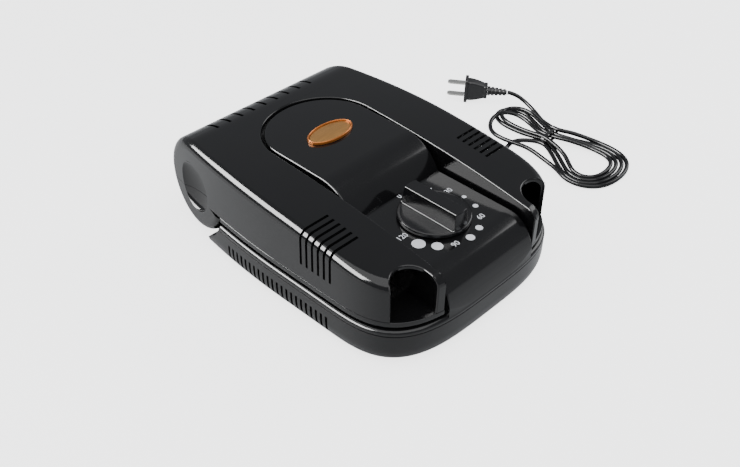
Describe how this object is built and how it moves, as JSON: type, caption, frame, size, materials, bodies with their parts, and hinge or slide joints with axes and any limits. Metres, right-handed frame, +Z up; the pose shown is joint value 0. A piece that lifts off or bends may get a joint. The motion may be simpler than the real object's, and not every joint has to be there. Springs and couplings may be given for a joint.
{
  "type": "folding shoe dryer",
  "caption": "Folding electric shoe dryer: flat base with blower and run-down timer dial, and a U-shaped frame of hollow warm-air arms that hinges up at the rear.",
  "frame": {"origin": "on the table under the centre of the dryer, without its cord", "axes": "+X to the dryer's right, +Y to the rear hinge, +Z up"},
  "size_m": [0.3627, 0.27, 0.0872],
  "materials": {
    "black_gloss": "polished black ABS",
    "black_satin": "satin black ABS",
    "inner_plastic": "moulded, unpainted",
    "heat_plastic": "heat-resistant moulding",
    "rubber_black": "matt PVC and rubber",
    "badge_gold": "satin gold foil",
    "badge_bronze": "bright bronze rim",
    "steel": "plated steel"
  },
  "bodies": {
    "base": {"base_bottom_shell": "black_gloss", "base_top_shell": "black_gloss", "foot_front_left": "rubber_black", "foot_rear_left": "rubber_black", "foot_front_right": "rubber_black", "foot_rear_right": "rubber_black", "base_screw_right_1": "steel", "base_screw_left_1": "steel", "base_screw_right_2": "steel", "base_screw_left_2": "steel", "badge_rim": "badge_bronze", "badge_plate": "badge_gold", "blower_housing": "inner_plastic", "motor": "steel", "heater_frame": "heat_plastic", "heater_element": "steel", "thermal_cutout": "steel", "air_duct": "inner_plastic", "timer_mechanism": "inner_plastic", "terminal_block": "heat_plastic", "cord_clamp": "black_satin", "hinge_drum": "black_satin", "trunnion_right": "black_satin", "trunnion_left": "black_satin", "hinge_washer_right": "rubber_black", "hinge_washer_left": "rubber_black", "cord_strain_relief": "rubber_black", "cord_lead": "rubber_black", "cord_hank": "rubber_black", "cord_tie": "rubber_black", "cord_tail": "rubber_black", "plug_strain_relief": "rubber_black", "plug_body": "rubber_black", "plug_blade_upper": "steel", "plug_blade_lower": "steel"},
    "frame": {"frame_upper_shell": "black_gloss", "frame_lower_shell": "black_gloss", "frame_screw_right_1": "steel", "frame_screw_left_1": "steel", "frame_screw_right_2": "steel", "frame_screw_left_2": "steel"},
    "knob": {"timer_knob": "black_satin", "timer_shaft": "steel"},
    "impeller": {"blower_impeller": "inner_plastic", "motor_shaft": "steel"}
  },
  "joints": [
    {"name": "frame_lift", "type": "hinge", "parent": "base", "child": "frame", "pos_m": [0, 0.0965, 0.0465], "axis": [-1, 0, 0], "range_deg": [0, 65]},
    {"name": "timer_turn", "type": "hinge", "parent": "base", "child": "knob", "pos_m": [0, -0.0752, 0.0625], "axis": [0, 0, -1], "range_deg": [0, 270]},
    {"name": "impeller_spin", "type": "hinge", "parent": "base", "child": "impeller", "pos_m": [0, 0.008, 0.012], "axis": [0, 0, 1], "continuous": true}
  ]
}
